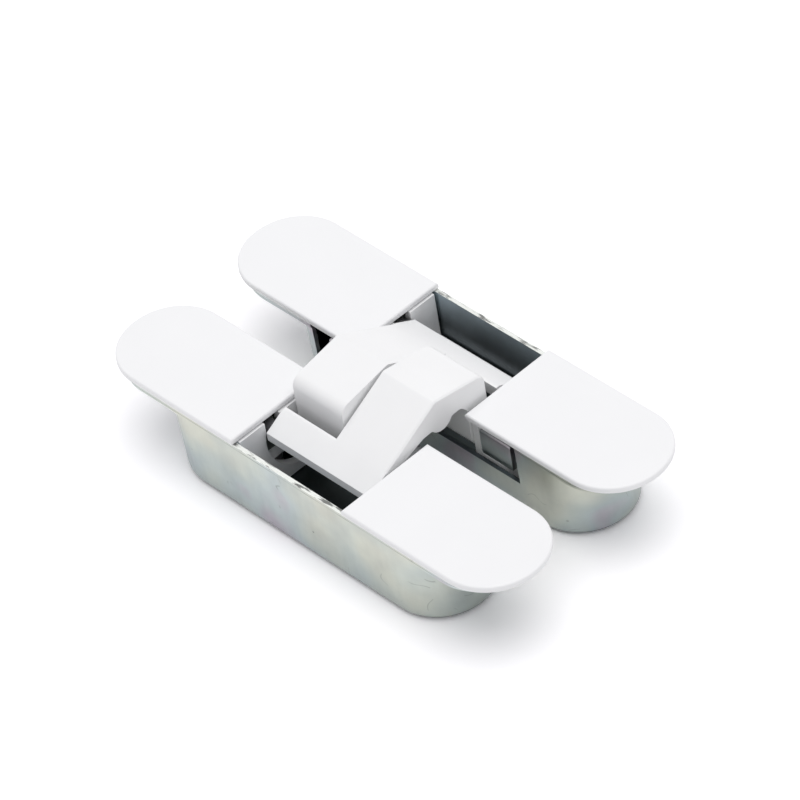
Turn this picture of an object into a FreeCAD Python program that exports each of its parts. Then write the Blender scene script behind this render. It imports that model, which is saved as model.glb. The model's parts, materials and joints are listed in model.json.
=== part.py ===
# Concealed door hinge, opened flat: two stadium-shaped steel cups, each with a die-cast carriage,
# joined by two L-shaped arms that cross at a centre pin.
#
# Frame: X along the hinge's length, Y from the frame half (y < 0) to the door half (y > 0),
# Z up out of the cups. The origin is under the middle, level with the cups' bottoms. Millimetres.
# The door half is the frame half turned by 180 degrees about Z.
import FreeCAD, Part
import math
import os
import re
import Sketcher

doc = FreeCAD.newDocument("concealed_hinge")
sheet = doc.addObject("Spreadsheet::Sheet", "Sizes")

DRIVING_SIZES = [
    ("arm_reach", 15.5, "middle to an arm's outer side"),
    ("arm_split", 0.3, "middle to an arm's inner side"),
    ("arm_play", 0.6, "gap between an arm and a cheek"),
    ("cover_width", 25.0, "width of a cover"),
    ("cover_thick", 1.5, "thickness of a cover's plate"),
    ("cover_end_flat", 0.2, "half the straight stretch at a cover's outer end"),
    ("cover_edge_round", 0.5, "rounding of a cover's upper edge"),
    ("cover_end_lap", 17.0, "cover's end beyond the end of the frame's cup"),
    ("cover_setback", 0.4, "how much of a cheek's inner edge shows beside a cover"),
    ("cover_gap", 10.8, "distance between the two halves' covers, opened flat"),
    ("face_height", 21.5, "cup's bottom to the covers' outer face"),
    ("flange_thick", 1.4, "thickness of the cup's screw flange"),
    ("flange_end_inset", 2.6, "flange's end inside the cover's end"),
    ("flange_side_inset", 0.25, "flange's side inside the cover's side"),
    ("flange_end_flat", 0.25, "half the straight stretch at the flange's end"),
    ("cup_end_room", 10.0, "carriage's end to the cup's end"),
    ("door_cup_more", 6.0, "how much further the door's cup reaches at its left end"),
    ("door_cup_less", 2.4, "how much shorter the door's cup is at its right end"),
    ("cup_side_inset", 0.3, "cup's side inside the cover's side"),
    ("cup_end_draft", 1.0, "how much each end of the cup leans in towards the bottom"),
    ("cup_side_draft", 0.25, "how much each side of the cup leans in towards the bottom"),
    ("cup_sheet", 1.0, "thickness of the cup's steel"),
    ("cup_foot_radius", 2.0, "radius around the cup's bottom"),
    ("window_inset", 0.5, "window's end inside the end of a clamp block's seat"),
    ("window_drop", 12.0, "covers' face to the window's lower edge"),
    ("screw_hole", 4.2, "diameter of a flange screw hole"),
    ("screw_sink", 7.4, "diameter of its countersink at the flange's face"),
    ("screw_sink_depth", 1.0, "depth of that countersink"),
    ("screw_sink_land", 0.1, "step between the countersink's foot and the hole"),
    ("screw_inset", 5.4, "flange's end to the middle of a screw hole"),
    ("screw_pitch_y", 10.0, "distance between the screw holes across the hinge"),
    ("carriage_play", 0.3, "gap between the carriage and the cup"),
    ("block_end_gap", 3.9, "clamp block to the carriage's end wall"),
    ("carriage_drop", 1.8, "covers' face to the top of the carriage"),
    ("cheek_thick", 1.9, "thickness of a cheek"),
    ("carriage_wall", 1.7, "thickness of the carriage's side rail"),
    ("carriage_end_wall", 2.0, "thickness of the carriage's end"),
    ("rail_high", 8.0, "cup's bottom to the top of the side rail between the cheeks"),
    ("ledge_drop", 11.6, "covers' face to the ledge under the clamp block"),
    ("ledge_thick", 3.0, "thickness of that ledge"),
    ("adjust_travel", 0.8, "how far the carriage slides each way"),
    ("block_length", 9.0, "length of a clamp block along the hinge"),
    ("block_back", 6.6, "half's middle to the clamp block's outer side"),
    ("block_height", 6.6, "height of the clamp block"),
    ("block_fit", 0.1, "gap between the clamp block and its seat"),
    ("block_bevel", 0.4, "bevel round the clamp block's top"),
    ("clamp_screw", 4.0, "diameter of the clamp screw"),
    ("clamp_head", 7.0, "diameter of the clamp screw's head"),
    ("clamp_head_high", 2.4, "height of the clamp screw's head"),
    ("clamp_head_round", 0.4, "rounding of that head's upper edge"),
    ("clamp_socket", 3.0, "width across flats of its hexagon socket"),
    ("clamp_socket_deep", 1.6, "depth of that socket"),
    ("post_floor", 0.8, "thickness of the post under its thread"),
    ("thread_spare", 0.8, "clamp screw's end to the foot of that thread"),
    ("pivot_inset", 4.8, "covers' inner side to the fixed pivot"),
    ("pivot_drop", 9.5, "covers' face down to the fixed pivot"),
    ("centre_rise", 2.2, "covers' face up to the centre pin, opened flat"),
    ("closed_gap", 4.0, "gap between the covers when the hinge is closed"),
    ("slide_inset", 13.8, "covers' inner side to the sliding pin, opened flat"),
    ("slide_drop", 4.8, "covers' face down to the sliding pin, opened flat"),
    ("pivot_pin", 3.5, "diameter of the fixed pivot pin"),
    ("centre_pin_size", 4.0, "diameter of the centre pin"),
    ("slide_pin", 2.4, "diameter of the sliding pin"),
    ("slide_sleeve", 3.4, "outside diameter of the sliding pin's sleeve"),
    ("slot_play", 0.45, "gap all round the sleeve in its slot"),
    ("running_fit", 0.05, "radial clearance of a turning fit"),
    ("bush_wall", 0.5, "wall of the bush in an arm's nose"),
    ("nose_radius", 2.9, "radius of an arm round the fixed pivot"),
    ("hub_radius", 3.2, "radius of an arm round the centre pin"),
    ("bar_radius", 2.5, "radius of an arm round the sliding pin"),
    ("bar_drop", 0.9, "covers' face down to the top of an arm's bar"),
    ("bar_before", 2.6, "sliding pin to the front of an arm's bar"),
    ("bar_behind", 3.6, "sliding pin to the back of an arm's bar"),
    ("bar_land", 1.0, "width of the flat strip along the bar's back"),
    ("bar_lip", 2.1, "height of the bar's front face"),
    ("pin_wall", 2.0, "wall that closes the centre pin's bore at an arm's outer side"),
    ("pin_end_play", 0.2, "gap between the centre pin's end and that wall"),
    ("arm_bevel", 0.35, "bevel along an arm's outer upper edges"),
    ("hub_round", 0.8, "rounding where the hub meets the arm's underside"),
    ("notch_round", 1.4, "rounding of the notch between hub and nose"),
    ("ridge_rise", 7.7, "covers' face up to an arm's ridge"),
    ("ridge_back", 0.9, "gap's middle to an arm's ridge"),
    ("shoulder_rise", 5.2, "covers' face up to an arm's shoulder above the nose"),
    ("shoulder_round", 2.8, "rounding of that shoulder"),
    ("ridge_round", 1.2, "rounding of an arm's ridge"),
    ("arm_under", 2.2, "covers' face down to the underside of an arm's riser"),
    ("under_out", 13.0, "gap's middle to the end of that underside"),
    ("notch_out", 5.6, "gap's middle to the notch between hub and nose"),
    ("notch_rise", 0.9, "covers' face up to that notch"),
    ("nose_step", 1.2, "covers' face down to where the nose leaves that notch"),
    ("saddle_out", 5.4, "gap's middle to the notch between hub and bar"),
    ("saddle_rise", 0.5, "covers' face up to that notch"),
    ("clip_inset", 7.0, "cup's end to the middle of a cover's clip"),
    ("clip_thick", 1.1, "thickness of a cover's clip"),
    ("clip_width", 4.0, "width of a cover's clip"),
    ("clip_depth", 4.0, "how far a cover's clip reaches into the cup"),
    ("clip_play", 0.4, "gap between a clip and the cup's wall"),
]

DERIVED_SIZES = [
    ("half_out", "=(cover_gap + cover_width) / 2", "gap's middle to the middle of a half"),
    ("cover_end_radius", "=cover_width / 2 - cover_end_flat", "corner radius of a cover's outer end"),
    ("flange_end_radius", "=cover_width / 2 - flange_side_inset - flange_end_flat",
     "corner radius of the flange's end"),
    ("flange_top", "=face_height - cover_thick", "height of the flange's upper face"),
    ("cup_top_radius", "=cover_width / 2 - cup_side_inset", "half the cup's width under the flange"),
    ("cup_foot_end", "=cup_top_radius - cup_side_draft", "half the cup's width at its bottom"),
    ("carriage_top", "=face_height - carriage_drop", "height of the carriage's top"),
    ("carriage_low", "=cup_sheet + carriage_play", "height of the carriage's underside"),
    ("carriage_radius", "=cup_foot_end - cup_sheet - carriage_play", "half the carriage's width"),
    ("ledge_top", "=face_height - ledge_drop", "height of the ledge's top"),
    ("cheek_in", "=arm_reach + arm_play", "middle to a cheek's inner face"),
    ("cheek_out", "=cheek_in + cheek_thick", "middle to a cheek's outer face"),
    ("block_out", "=cheek_out + block_fit + block_length / 2", "middle to a clamp screw, along the hinge"),
    ("seat_end", "=block_out + block_length / 2 + block_end_gap", "middle to the far end of a block's seat"),
    ("carriage_end", "=seat_end + carriage_end_wall", "middle to the carriage's end"),
    ("cup_end", "=carriage_end + cup_end_room", "middle to the end of the frame's cup"),
    ("cover_start", "=cheek_in + cover_setback", "middle to a cover's inner end"),
    ("cover_end", "=cup_end + cover_end_lap", "middle to a cover's outer end"),
    ("flange_end", "=cover_end - flange_end_inset", "middle to the flange's end"),
    ("screw_out", "=flange_end - screw_inset", "middle to a screw hole, along the hinge"),
    ("post_radius", "=block_length / 2 + block_fit - adjust_travel - carriage_play",
     "radius of the threaded post on the cup's floor"),
    ("post_top", "=ledge_top - ledge_thick - carriage_play", "height of that post's top"),
    ("clamp_screw_low", "=cup_sheet + post_floor + thread_spare", "height of the clamp screw's end"),
    ("clip_over", "=cup_top_radius - clip_inset + clip_width / 2",
     "clip's far side past the start of the cup's end arc"),
    ("clip_reach", "=sqrt((cup_top_radius - cup_sheet)^2 - clip_over^2) - clip_play",
     "half's middle to a clip's outer side"),
    ("pivot_out", "=cover_gap / 2 + pivot_inset", "gap's middle to the fixed pivot"),
    ("slide_out", "=cover_gap / 2 + slide_inset", "gap's middle to the sliding pin, opened flat"),
    ("pivot_high", "=face_height - pivot_drop", "height of the fixed pivot"),
    ("centre_high", "=face_height + centre_rise", "height of the centre pin"),
    ("slide_high", "=face_height - slide_drop", "height of the sliding pin, opened flat"),
    ("slot_radius", "=slide_sleeve / 2 + slot_play", "half the width of the slot"),
    ("bar_front", "=slide_out + bar_before", "gap's middle to the front of an arm's bar"),
    ("bar_back", "=slide_out - bar_behind", "gap's middle to the back of an arm's bar"),
    ("bar_top", "=face_height - bar_drop", "height of the bar's flat strip"),
    ("ridge_high", "=face_height + ridge_rise", "height of an arm's ridge"),
    ("slope_fall", "=(ridge_high - bar_top) / (bar_back + bar_land - ridge_back)",
     "fall of an arm's long slope"),
    ("bar_edge", "=ridge_high - (bar_front - ridge_back) * slope_fall",
     "height of the bar's front upper edge"),
]


def enter_sizes():
    """Write the driving sizes and what follows from them into the sheet."""
    for number, (alias, content, remark) in enumerate(DRIVING_SIZES + DERIVED_SIZES, start=1):
        sheet.set(f"A{number}", remark)
        sheet.set(f"B{number}", str(content))
        sheet.setAlias(f"B{number}", alias)
    doc.recompute()


enter_sizes()
ALIASES = [row[0] for row in DRIVING_SIZES + DERIVED_SIZES]


def bound(expression):
    """The expression with each alias read from the sheet."""
    return re.sub(r"\b([a-z]+(?:_[a-z]+)+)\b",
                  lambda found: "Sizes." + found.group(1) if found.group(1) in ALIASES else found.group(1),
                  expression)


def value(expression):
    return float(sheet.evalExpression(bound(expression)))


def turned(point, centre, angle):
    """A (y, z) point turned about another, anticlockwise."""
    across, up = point[0] - centre[0], point[1] - centre[1]
    return (centre[0] + across * math.cos(angle) - up * math.sin(angle),
            centre[1] + across * math.sin(angle) + up * math.cos(angle))


# The fold. Both halves and both arms are mirror images about the plane that halves the fold, so the
# fixed pivots stay mirror images and the centre pin stays on that plane. The slot carries the sliding
# pin along the path that keeps the arms' turns in a constant ratio.
pivot = (-value("pivot_out"), value("pivot_high"))
centre_open = (0.0, value("centre_high"))
slide_open = (-value("slide_out"), value("slide_high"))
link_length = math.dist(pivot, centre_open)
closed_rise = value("pivot_drop + closed_gap / 2")
closed_reach = math.sqrt(link_length ** 2 - closed_rise ** 2)
arm_swing = (math.pi - math.atan2(closed_rise, closed_reach)
             - math.atan2(centre_open[1] - pivot[1], centre_open[0] - pivot[0]))
cross_ratio = math.pi / arm_swing - 2.0


def sliding_pin(share):
    """Where the sliding pin is when the arm has turned by that share of its swing."""
    return turned(turned(slide_open, centre_open, cross_ratio * arm_swing * share), pivot, arm_swing * share)


def circle_through(first, second, third):
    """Centre and radius of the circle through three (y, z) points."""
    ax, ay = second[0] - first[0], second[1] - first[1]
    bx, by = third[0] - first[0], third[1] - first[1]
    cross = 2.0 * (ax * by - ay * bx)
    across = (by * (ax * ax + ay * ay) - ay * (bx * bx + by * by)) / cross
    up = (ax * (bx * bx + by * by) - bx * (ax * ax + ay * ay)) / cross
    return (first[0] + across, first[1] + up), math.hypot(across, up)


slide_closed = sliding_pin(1.0)
slot_centre, slot_bend = circle_through(slide_open, sliding_pin(0.5), slide_closed)

WORKED_OUT = [
    ("slot_centre_out", -slot_centre[0], "gap's middle to the centre of the slot's arc"),
    ("slot_centre_high", slot_centre[1], "height of that centre"),
    ("slot_bend", slot_bend, "radius of the slot's middle line"),
    ("slide_closed_high", slide_closed[1], "height of the sliding pin, closed"),
]
for number, (alias, content, remark) in enumerate(WORKED_OUT, start=len(ALIASES) + 1):
    sheet.set(f"A{number}", remark)
    sheet.set(f"B{number}", repr(content))
    sheet.setAlias(f"B{number}", alias)
ALIASES += [row[0] for row in WORKED_OUT]
doc.recompute()

SAME_PLACE = 1e-4
HALF_TURN = FreeCAD.Placement(FreeCAD.Vector(0, 0, 0), FreeCAD.Rotation(FreeCAD.Vector(0, 0, 1), 180))
PLACES = {"frame": FreeCAD.Placement(), "door": HALF_TURN}
nodes = []


def new_body(label, place):
    """A body whose finished shape becomes the node of that name."""
    body = doc.addObject("PartDesign::Body", label)
    body.Label = label
    body.Placement = place
    nodes.append(body)
    return body


def new_sketch(body, plane_role, offset):
    """A sketch on one of the body's origin planes, moved along the plane's normal."""
    sketch = body.newObject("Sketcher::SketchObject", body.Name + "_sketch")
    plane = next(item for item in body.Origin.OriginFeatures if item.Role == plane_role)
    sketch.AttachmentSupport = [(plane, "")]
    sketch.MapMode = "FlatFace"
    sketch.setExpression("AttachmentOffset.Base.z", bound(offset))
    return sketch


def tie(sketch, kind, where, expression):
    """A dimension of the sketch, bound to the sheet."""
    number = sketch.addConstraint(Sketcher.Constraint(kind, *where, value(expression)))
    sketch.setExpression(f"Constraints[{number}]", bound(expression))


def tie_point(sketch, edge, end, across, up):
    tie(sketch, "DistanceX", (-1, 1, edge, end), across)
    tie(sketch, "DistanceY", (-1, 1, edge, end), up)


def draw_polygon(sketch, corners):
    """A closed outline of straight lines, each corner given as two expressions."""
    spots = [FreeCAD.Vector(value(across), value(up), 0) for across, up in corners]
    count = len(corners)
    first = sketch.GeometryCount
    for number in range(count):
        sketch.addGeometry(Part.LineSegment(spots[number], spots[(number + 1) % count]), False)
    for number in range(count):
        follower = first + (number + 1) % count
        sketch.addConstraint(Sketcher.Constraint("Coincident", first + number, 2, follower, 1))
    for number, (across, up) in enumerate(corners):
        tie_point(sketch, first + number, 1, across, up)


def draw_box(sketch, left, right, low, high):
    draw_polygon(sketch, [(left, low), (right, low), (right, high), (left, high)])


def draw_circle(sketch, across, up, radius):
    spot = FreeCAD.Vector(value(across), value(up), 0)
    edge = sketch.addGeometry(Part.Circle(spot, FreeCAD.Vector(0, 0, 1), value(radius)), False)
    tie_point(sketch, edge, 3, across, up)
    tie(sketch, "Radius", (edge,), radius)


def draw_arc(sketch, centre, radius, start, finish):
    circle = Part.Circle(centre, FreeCAD.Vector(0, 0, 1), radius)
    return sketch.addGeometry(Part.ArcOfCircle(circle, start, finish), False)


def draw_stadium(sketch, middle_x, middle_y, reach, radius):
    """A slot shape: two straight sides and two half-round ends, reach from its middle to each end."""
    mid = FreeCAD.Vector(value(middle_x), value(middle_y), 0)
    size = value(radius)
    run = value(f"({reach}) - ({radius})")
    right = mid + FreeCAD.Vector(run, 0, 0)
    left = mid - FreeCAD.Vector(run, 0, 0)
    up = FreeCAD.Vector(0, size, 0)
    east = draw_arc(sketch, right, size, -math.pi / 2, math.pi / 2)
    north = sketch.addGeometry(Part.LineSegment(right + up, left + up), False)
    west = draw_arc(sketch, left, size, math.pi / 2, 3 * math.pi / 2)
    south = sketch.addGeometry(Part.LineSegment(left - up, right - up), False)
    for one, other in ((east, north), (north, west), (west, south), (south, east)):
        sketch.addConstraint(Sketcher.Constraint("Tangent", one, 2, other, 1))
    tie_point(sketch, east, 3, f"({middle_x}) + ({reach}) - ({radius})", middle_y)
    tie_point(sketch, west, 3, f"({middle_x}) - (({reach}) - ({radius}))", middle_y)
    tie(sketch, "Radius", (east,), radius)
    tie(sketch, "Radius", (west,), radius)


def draw_arc_slot(sketch):
    """The slot in a cheek: an arc-shaped band round the sliding pin's path."""
    hub = FreeCAD.Vector(slot_centre[0], slot_centre[1], 0)
    half = value("slot_radius")
    start = math.atan2(slide_open[1] - hub.y, slide_open[0] - hub.x)
    finish = math.atan2(slide_closed[1] - hub.y, slide_closed[0] - hub.x) + 2 * math.pi
    outer = draw_arc(sketch, hub, slot_bend + half, start, finish)
    low = draw_arc(sketch, FreeCAD.Vector(*slide_closed, 0), half, finish, finish + math.pi)
    inner = draw_arc(sketch, hub, slot_bend - half, start, finish)
    top = draw_arc(sketch, FreeCAD.Vector(*slide_open, 0), half, start - math.pi, start)
    for joint in ((outer, 2, low, 1), (low, 2, inner, 2), (inner, 1, top, 1), (top, 2, outer, 1)):
        sketch.addConstraint(Sketcher.Constraint("Tangent", *joint))
    sketch.addConstraint(Sketcher.Constraint("Coincident", inner, 3, outer, 3))
    tie_point(sketch, outer, 3, "-slot_centre_out", "slot_centre_high")
    tie_point(sketch, top, 3, "-slide_out", "slide_high")
    tie(sketch, "DistanceY", (-1, 1, low, 3), "slide_closed_high")
    tie(sketch, "Radius", (low,), "slot_radius")


def add_feature(body, kind, sketch, length=None, reverse=False):
    """A pad or pocket of the sketch, its length bound to the sheet."""
    feature = body.newObject("PartDesign::" + kind, body.Name + "_" + kind.lower())
    feature.Profile = sketch
    feature.Type = "Length"
    feature.setExpression("Length", bound(length))
    feature.Reversed = reverse
    doc.recompute()
    return feature


def add_loft(body, kind, low_sketch, high_sketch):
    """A straight-sided loft between two sketches."""
    feature = body.newObject("PartDesign::" + kind, body.Name + "_loft")
    feature.Profile = low_sketch
    feature.Sections = [high_sketch]
    feature.Ruled = True
    doc.recompute()
    return feature


def dress(body, kind, size, wanted):
    """A fillet or chamfer on the edges that the test picks."""
    base = body.Tip
    names = [f"Edge{number}" for number, edge in enumerate(base.Shape.Edges, start=1) if wanted(edge)]
    if not names:
        raise RuntimeError(f"{body.Label}: no edge for its {kind}")
    feature = body.newObject("PartDesign::" + kind, body.Name + "_" + kind.lower())
    feature.Base = (base, names)
    feature.setExpression("Radius" if kind == "Fillet" else "Size", bound(size))
    doc.recompute()
    return feature


def near(first, second):
    return abs(first - second) < SAME_PLACE


def upright(edge, height):
    """Whether the edge is a straight vertical one of that height."""
    return near(edge.BoundBox.ZLength, height) and near(edge.BoundBox.XLength, 0)


def lengthwise(edge):
    """Whether the edge is a straight one along the hinge."""
    return near(edge.BoundBox.ZLength, 0) and near(edge.BoundBox.YLength, 0)


def cut_sketch(body, top):
    """A sketch in plan from which a pocket goes down."""
    return new_sketch(body, "XY_Plane", top)


def ends_of(sign, inner, outer):
    """The low and high x of what lies between two distances on the side that the sign says."""
    return (f"-({outer})", f"-({inner})") if sign else (inner, outer)


def draw_clamp_slot(sketch, middle):
    """The slotted hole that lets the carriage slide past its clamp screw."""
    draw_stadium(sketch, middle, "-half_out", "clamp_screw / 2 + block_fit + adjust_travel",
                 "clamp_screw / 2 + block_fit")


# How far each cup reaches from the middle, at its left and its right end.
CUP_ENDS = {
    ("frame", "left"): "cup_end",
    ("frame", "right"): "cup_end",
    ("door", "left"): "cup_end + door_cup_more",
    ("door", "right"): "cup_end - door_cup_less",
}


def draw_cup_plan(sketch, side, inset, radius):
    """The cup's outline in plan, its ends drawn in by the inset."""
    left, right = CUP_ENDS[side, "left"], CUP_ENDS[side, "right"]
    middle, reach = f"({right} - ({left})) / 2", f"({right} + {left}) / 2 - ({inset})"
    draw_stadium(sketch, middle, "-half_out", reach, radius)


# Cup: one deep-drawn steel tray with its screw flange, and a window in the side towards the gap.
def make_cup(side):
    body = new_body(side + "_cup", PLACES[side])
    foot = new_sketch(body, "XY_Plane", "0")
    draw_cup_plan(foot, side, "cup_end_draft", "cup_foot_end")
    rim = new_sketch(body, "XY_Plane", "flange_top")
    draw_cup_plan(rim, side, "0", "cup_top_radius")
    add_loft(body, "AdditiveLoft", foot, rim)
    flange = new_sketch(body, "XY_Plane", "flange_top - flange_thick")
    draw_box(flange, "-flange_end", "flange_end",
             "-half_out - cover_width / 2 + flange_side_inset",
             "-half_out + cover_width / 2 - flange_side_inset")
    add_feature(body, "Pad", flange, "flange_thick")
    end, thickness = value("flange_end"), value("flange_thick")
    dress(body, "Fillet", "flange_end_radius",
          lambda edge: upright(edge, thickness) and near(abs(edge.BoundBox.XMax), end))
    dress(body, "Fillet", "cup_foot_radius", lambda edge: near(edge.BoundBox.ZMax, 0))
    inner_foot = new_sketch(body, "XY_Plane", "cup_sheet")
    draw_cup_plan(inner_foot, side, "cup_end_draft + cup_sheet", "cup_foot_end - cup_sheet")
    inner_rim = new_sketch(body, "XY_Plane", "flange_top")
    draw_cup_plan(inner_rim, side, "cup_sheet", "cup_top_radius - cup_sheet")
    add_loft(body, "SubtractiveLoft", inner_foot, inner_rim)
    window = cut_sketch(body, "face_height")
    draw_box(window, "-seat_end + window_inset", "seat_end - window_inset",
             "-half_out + cup_top_radius / 2", "0")
    add_feature(body, "Pocket", window, "window_drop")
    holes = cut_sketch(body, "flange_top")
    sinks = cut_sketch(body, "flange_top")
    for along in ("-screw_out", "screw_out"):
        for across in ("-half_out - screw_pitch_y / 2", "-half_out + screw_pitch_y / 2"):
            draw_circle(holes, along, across, "screw_hole / 2")
            draw_circle(sinks, along, across, "screw_sink / 2")
    add_feature(body, "Pocket", holes, "flange_thick")
    sink = add_feature(body, "Pocket", sinks, "screw_sink_depth")
    taper = "-atan(((screw_sink - screw_hole) / 2 - screw_sink_land) / screw_sink_depth)"
    sink.setExpression("TaperAngle", bound(taper))
    doc.recompute()


# Carriage: the die-cast inner body, two cheeks on a side wall, with a ledge at each end. The slots in
# the cheeks are open at the top, where the arm's sliding pin is put in.
def make_carriage(side):
    body = new_body(side + "_carriage", PLACES[side])
    foot = new_sketch(body, "XY_Plane", "carriage_low")
    draw_stadium(foot, "0", "-half_out", "carriage_end", "carriage_radius")
    add_feature(body, "Pad", foot, "carriage_top - carriage_low")
    well = cut_sketch(body, "carriage_top")
    draw_box(well, "-cheek_in", "cheek_in", "-half_out - carriage_radius + carriage_wall", "0")
    add_feature(body, "Pocket", well, "carriage_top")
    above_rail = cut_sketch(body, "carriage_top")
    draw_box(above_rail, "-cheek_in", "cheek_in", "-cover_gap / 2 - cover_width", "0")
    add_feature(body, "Pocket", above_rail, "carriage_top - rail_high")
    for sign in ("-", ""):
        span = ends_of(sign, "cheek_out", "seat_end")
        seat = cut_sketch(body, "carriage_top")
        draw_box(seat, *span, "-half_out - block_back - block_fit", "0")
        add_feature(body, "Pocket", seat, "carriage_top - ledge_top")
        core = cut_sketch(body, "ledge_top - ledge_thick")
        draw_box(core, *span, "-half_out - carriage_radius + carriage_wall",
                 "-half_out + carriage_radius - carriage_wall")
        add_feature(body, "Pocket", core, "ledge_top")
        slot = cut_sketch(body, "ledge_top")
        draw_clamp_slot(slot, f"{sign}block_out")
        add_feature(body, "Pocket", slot, "ledge_thick")
    bore = new_sketch(body, "YZ_Plane", "cheek_out")
    draw_circle(bore, "-pivot_out", "pivot_high", "pivot_pin / 2")
    add_feature(body, "Pocket", bore, "2 * cheek_out")
    track = new_sketch(body, "YZ_Plane", "cheek_out")
    draw_arc_slot(track)
    add_feature(body, "Pocket", track, "2 * cheek_out")
    mouth = new_sketch(body, "YZ_Plane", "cheek_out")
    draw_box(mouth, "-slide_out - slot_radius", "-slide_out + slot_radius", "slide_high", "face_height")
    add_feature(body, "Pocket", mouth, "2 * cheek_out")


# Cover: a moulded cap over one end of a half, with two clips that grip the cup's end.
def make_cover(side, end, sign):
    body = new_body(f"{side}_cover_{end}", PLACES[side])
    plate = new_sketch(body, "XY_Plane", "flange_top")
    draw_box(plate, *ends_of(sign, "cover_start", "cover_end"),
             "-half_out - cover_width / 2", "-half_out + cover_width / 2")
    add_feature(body, "Pad", plate, "cover_thick")
    tip, thickness = value("cover_end"), value("cover_thick")
    dress(body, "Fillet", "cover_end_radius",
          lambda edge: upright(edge, thickness) and near(abs(edge.BoundBox.XMax), tip))
    dress(body, "Fillet", "cover_edge_round", lambda edge: near(edge.BoundBox.ZMin, value("face_height")))
    clip_out = f"{CUP_ENDS[side, end]} - clip_inset"
    along = ends_of(sign, f"{clip_out} - clip_width / 2", f"{clip_out} + clip_width / 2")
    for across in (("-half_out - clip_reach", "-half_out - clip_reach + clip_thick"),
                   ("-half_out + clip_reach - clip_thick", "-half_out + clip_reach")):
        clip = new_sketch(body, "XY_Plane", "flange_top")
        draw_box(clip, *along, *across)
        add_feature(body, "Pad", clip, "clip_depth", reverse=True)


# Clamp block, screw and post: they hold the carriage's ledge, and let it slide when loosened.
def make_clamp(side, end, sign):
    middle = f"{sign}block_out"
    block = new_body(f"{side}_clamp_block_{end}", PLACES[side])
    plan = new_sketch(block, "XY_Plane", "ledge_top")
    draw_box(plan, f"{middle} - block_length / 2", f"{middle} + block_length / 2",
             "-half_out - block_back", "-half_out + carriage_radius")
    add_feature(block, "Pad", plan, "block_height")
    dress(block, "Chamfer", "block_bevel",
          lambda edge: near(edge.BoundBox.ZMin, value("ledge_top + block_height")))
    slot = cut_sketch(block, "ledge_top + block_height")
    draw_clamp_slot(slot, middle)
    add_feature(block, "Pocket", slot, "block_height")
    bore = new_sketch(block, "YZ_Plane", f"{middle} + block_length / 2")
    draw_circle(bore, "-pivot_out", "pivot_high", "pivot_pin / 2")
    add_feature(block, "Pocket", bore, "block_length")

    screw = new_body(f"{side}_clamp_screw_{end}", PLACES[side])
    head = new_sketch(screw, "XY_Plane", "ledge_top + block_height")
    draw_circle(head, middle, "-half_out", "clamp_head / 2")
    add_feature(screw, "Pad", head, "clamp_head_high")
    shank = new_sketch(screw, "XY_Plane", "ledge_top + block_height")
    draw_circle(shank, middle, "-half_out", "clamp_screw / 2")
    add_feature(screw, "Pad", shank, "ledge_top + block_height - clamp_screw_low", reverse=True)
    socket = cut_sketch(screw, "ledge_top + block_height + clamp_head_high")
    corner = "clamp_socket / 2"
    long_corner = "clamp_socket / sqrt(3)"
    short_corner = "clamp_socket / sqrt(3) / 2"
    draw_polygon(socket, [(f"{middle} + {long_corner}", "-half_out"),
                          (f"{middle} + {short_corner}", f"-half_out + {corner}"),
                          (f"{middle} - {short_corner}", f"-half_out + {corner}"),
                          (f"{middle} - {long_corner}", "-half_out"),
                          (f"{middle} - {short_corner}", f"-half_out - {corner}"),
                          (f"{middle} + {short_corner}", f"-half_out - {corner}")])
    add_feature(screw, "Pocket", socket, "clamp_socket_deep")
    dress(screw, "Fillet", "clamp_head_round",
          lambda edge: near(edge.BoundBox.ZMin, value("ledge_top + block_height + clamp_head_high"))
          and near(edge.BoundBox.XLength, value("clamp_head")))

    post = new_body(f"{side}_clamp_post_{end}", PLACES[side])
    foot = new_sketch(post, "XY_Plane", "cup_sheet")
    draw_circle(foot, middle, "-half_out", "post_radius")
    add_feature(post, "Pad", foot, "post_top - cup_sheet")
    thread = cut_sketch(post, "post_top")
    draw_circle(thread, middle, "-half_out", "clamp_screw / 2 + running_fit")
    add_feature(post, "Pocket", thread, "post_top - cup_sheet - post_floor")


# Arm: a full-width bar in one cup, and a half-width riser that crosses over to the other cup.
# It is drawn as the door's arm, whose bar lies in the frame's cup and whose nose is in the door's.
# One long slope runs from the ridge down to the bar's front.
def make_arm(side):
    own = {"door": PLACES["frame"], "frame": PLACES["door"]}[side]
    body = new_body(side + "_arm", own)
    width = "arm_reach - arm_split"
    draw_riser(body, width)
    draw_bar(body)
    bore_arm(body)


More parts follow.
